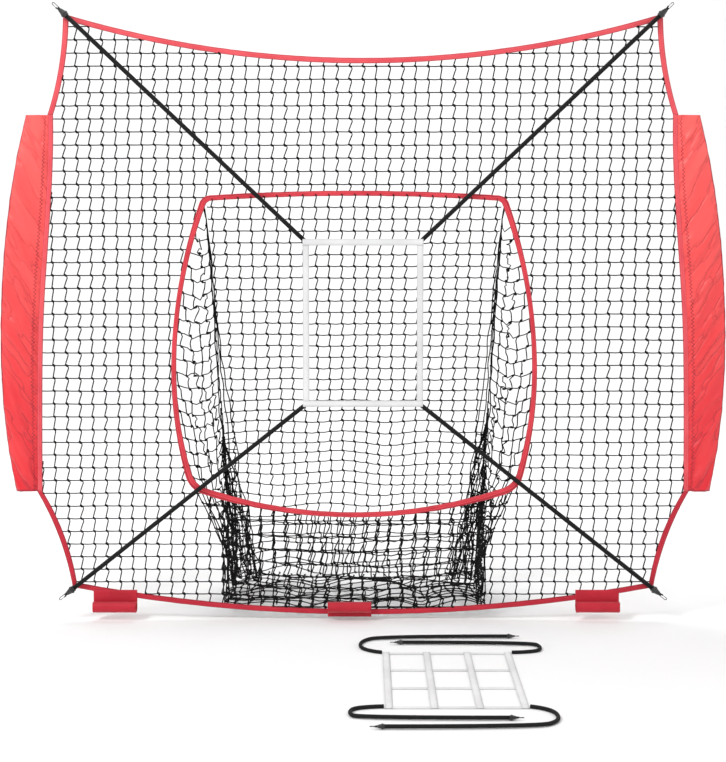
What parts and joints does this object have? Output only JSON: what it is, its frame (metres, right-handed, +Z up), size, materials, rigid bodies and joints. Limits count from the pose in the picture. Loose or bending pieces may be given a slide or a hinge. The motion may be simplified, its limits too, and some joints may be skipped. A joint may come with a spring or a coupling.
{
  "type": "pitching target net",
  "caption": "Bow net with pole sleeves, a rear ball pocket, base bar tabs, a corded strike zone and a loose grid target.",
  "frame": {"origin": "on the floor, under the middle of the net's bottom edge, in the plane of the net", "axes": "+Z up; +X across the net to the right as the thrower sees it; +Y away from the thrower, so the net's face looks along -Y and the pocket hangs on the +Y side"},
  "size_m": [2.134, 1.4953, 1.8159],
  "materials": {
    "net_cord": "knotted black polyester twine",
    "edge_binding": "folded red webbing, topstitched",
    "sleeve_nylon": "coated red woven nylon with soft folds",
    "tab_nylon": "crimson woven nylon with a hook-and-loop face",
    "white_webbing": "white woven webbing",
    "shock_cord": "black braided sheath over rubber",
    "ferrule_plastic": "black moulded plastic",
    "hook_steel": "black coated steel wire"
  },
  "bodies": {
    "net": {"main_net": "net_cord", "binding_top": "edge_binding", "binding_bottom": "edge_binding", "binding_left_upper": "edge_binding", "binding_left_lower": "edge_binding", "binding_right_upper": "edge_binding", "binding_right_lower": "edge_binding", "sleeve_seam_left": "edge_binding", "sleeve_seam_right": "edge_binding", "sleeve_left": "sleeve_nylon", "sleeve_right": "sleeve_nylon", "mouth_band": "edge_binding", "pocket_back": "net_cord", "pocket_left": "net_cord", "pocket_right": "net_cord", "pocket_floor": "net_cord", "pocket_apron": "net_cord", "bar_tab_left": "tab_nylon", "bar_tab_centre": "tab_nylon", "bar_tab_right": "tab_nylon"},
    "flap_left": {"tab_flap_left": "tab_nylon"},
    "flap_centre": {"tab_flap_centre": "tab_nylon"},
    "flap_right": {"tab_flap_right": "tab_nylon"},
    "strike_zone": {"zone_strip_top": "white_webbing", "zone_strip_bottom": "white_webbing", "zone_strip_left": "white_webbing", "zone_strip_right": "white_webbing", "zone_cord_upper_left": "shock_cord", "zone_cord_upper_right": "shock_cord", "zone_cord_lower_left": "shock_cord", "zone_cord_lower_right": "shock_cord", "zone_ferrules": "ferrule_plastic"},
    "nine_hole_target": {"target_rows": "white_webbing", "target_columns": "white_webbing", "target_cord_far_left": "shock_cord", "target_cord_near_right": "shock_cord", "target_cord_far_right": "shock_cord", "target_cord_near_left": "shock_cord", "target_ferrules": "ferrule_plastic"},
    "zone_hook_upper_left": {"zone_hook_upper_left": "hook_steel"},
    "zone_gate_upper_left": {"zone_gate_upper_left": "hook_steel"},
    "zone_hook_upper_right": {"zone_hook_upper_right": "hook_steel"},
    "zone_gate_upper_right": {"zone_gate_upper_right": "hook_steel"},
    "zone_hook_lower_left": {"zone_hook_lower_left": "hook_steel"},
    "zone_gate_lower_left": {"zone_gate_lower_left": "hook_steel"},
    "zone_hook_lower_right": {"zone_hook_lower_right": "hook_steel"},
    "zone_gate_lower_right": {"zone_gate_lower_right": "hook_steel"},
    "target_hook_far_left": {"target_hook_far_left": "hook_steel"},
    "target_gate_far_left": {"target_gate_far_left": "hook_steel"},
    "target_hook_near_right": {"target_hook_near_right": "hook_steel"},
    "target_gate_near_right": {"target_gate_near_right": "hook_steel"},
    "target_hook_far_right": {"target_hook_far_right": "hook_steel"},
    "target_gate_far_right": {"target_gate_far_right": "hook_steel"},
    "target_hook_near_left": {"target_hook_near_left": "hook_steel"},
    "target_gate_near_left": {"target_gate_near_left": "hook_steel"}
  },
  "joints": [
    {"name": "flap_left_open", "type": "hinge", "parent": "net", "child": "flap_left", "pos_m": [-0.737, -0.018, 0.0258], "axis": [1, 0, 0], "range_deg": [0, 105]},
    {"name": "flap_centre_open", "type": "hinge", "parent": "net", "child": "flap_centre", "pos_m": [-0.04, -0.018, 0.0258], "axis": [1, 0, 0], "range_deg": [0, 105]},
    {"name": "flap_right_open", "type": "hinge", "parent": "net", "child": "flap_right", "pos_m": [0.697, -0.018, 0.0258], "axis": [1, 0, 0], "range_deg": [0, 105]},
    {"name": "strike_zone_lift_off", "type": "slide", "parent": "net", "child": "strike_zone", "axis": [0, -1, 0], "range_m": [0, 0.5]},
    {"name": "nine_hole_target_lift", "type": "slide", "parent": "net", "child": "nine_hole_target", "axis": [0, 0, 1], "range_m": [0, 0.6]},
    {"name": "zone_hook_upper_left_swivel", "type": "hinge", "parent": "strike_zone", "child": "zone_hook_upper_left", "pos_m": [-0.87684, -0.0148, 1.79475], "axis": [-0.7269, 0, 0.6868], "continuous": true},
    {"name": "zone_gate_upper_left_press", "type": "hinge", "parent": "zone_hook_upper_left", "child": "zone_gate_upper_left", "pos_m": [-0.88583, -0.0148, 1.7987], "axis": [0, 1, 0], "range_deg": [0, 20], "stiffness_Nm_per_rad": 0.02, "springref_deg": -11.46},
    {"name": "zone_hook_upper_right_swivel", "type": "hinge", "parent": "strike_zone", "child": "zone_hook_upper_right", "pos_m": [0.87684, -0.0148, 1.79475], "axis": [0.7269, 0, 0.6868], "continuous": true},
    {"name": "zone_gate_upper_right_press", "type": "hinge", "parent": "zone_hook_upper_right", "child": "zone_gate_upper_right", "pos_m": [0.8813, -0.0148, 1.8035], "axis": [0, 1, 0], "range_deg": [0, 20], "stiffness_Nm_per_rad": 0.02, "springref_deg": -11.46},
    {"name": "zone_hook_lower_left_swivel", "type": "hinge", "parent": "strike_zone", "child": "zone_hook_lower_left", "pos_m": [-0.87937, -0.0148, 0.08101], "axis": [-0.7827, 0, -0.6225], "continuous": true},
    {"name": "zone_gate_lower_left_press", "type": "hinge", "parent": "zone_hook_lower_left", "child": "zone_gate_lower_left", "pos_m": [-0.88455, -0.0148, 0.07267], "axis": [0, 1, 0], "range_deg": [0, 20], "stiffness_Nm_per_rad": 0.02, "springref_deg": -11.46},
    {"name": "zone_hook_lower_right_swivel", "type": "hinge", "parent": "strike_zone", "child": "zone_hook_lower_right", "pos_m": [0.87937, -0.0148, 0.08101], "axis": [0.7827, 0, -0.6225], "continuous": true},
    {"name": "zone_gate_lower_right_press", "type": "hinge", "parent": "zone_hook_lower_right", "child": "zone_gate_lower_right", "pos_m": [0.88866, -0.0148, 0.07783], "axis": [0, 1, 0], "range_deg": [0, 20], "stiffness_Nm_per_rad": 0.02, "springref_deg": -11.46},
    {"name": "target_hook_far_left_swivel", "type": "hinge", "parent": "nine_hole_target", "child": "target_hook_far_left", "pos_m": [0.4264, -0.215, 0.0072], "axis": [1, 0, 0], "continuous": true},
    {"name": "target_gate_far_left_press", "type": "hinge", "parent": "target_hook_far_left", "child": "target_gate_far_left", "pos_m": [0.43232, -0.21289, 0.0072], "axis": [0, 0, -1], "range_deg": [0, 20], "stiffness_Nm_per_rad": 0.005, "springref_deg": -11.46},
    {"name": "target_hook_near_right_swivel", "type": "hinge", "parent": "nine_hole_target", "child": "target_hook_near_right", "pos_m": [0.0336, -1.006, 0.0072], "axis": [-1, 0, 0], "continuous": true},
    {"name": "target_gate_near_right_press", "type": "hinge", "parent": "target_hook_near_right", "child": "target_gate_near_right", "pos_m": [0.02768, -1.00811, 0.0072], "axis": [0, 0, -1], "range_deg": [0, 20], "stiffness_Nm_per_rad": 0.005, "springref_deg": -11.46},
    {"name": "target_hook_far_right_swivel", "type": "hinge", "parent": "nine_hole_target", "child": "target_hook_far_right", "pos_m": [0.0936, -0.279, 0.0072], "axis": [-1, 0, 0], "continuous": true},
    {"name": "target_gate_far_right_press", "type": "hinge", "parent": "target_hook_far_right", "child": "target_gate_far_right", "pos_m": [0.08768, -0.28111, 0.0072], "axis": [0, 0, -1], "range_deg": [0, 20], "stiffness_Nm_per_rad": 0.005, "springref_deg": -11.46},
    {"name": "target_hook_near_left_swivel", "type": "hinge", "parent": "nine_hole_target", "child": "target_hook_near_left", "pos_m": [0.3664, -0.942, 0.0072], "axis": [1, 0, 0], "continuous": true},
    {"name": "target_gate_near_left_press", "type": "hinge", "parent": "target_hook_near_left", "child": "target_gate_near_left", "pos_m": [0.37232, -0.93989, 0.0072], "axis": [0, 0, -1], "range_deg": [0, 20], "stiffness_Nm_per_rad": 0.005, "springref_deg": -11.46}
  ]
}
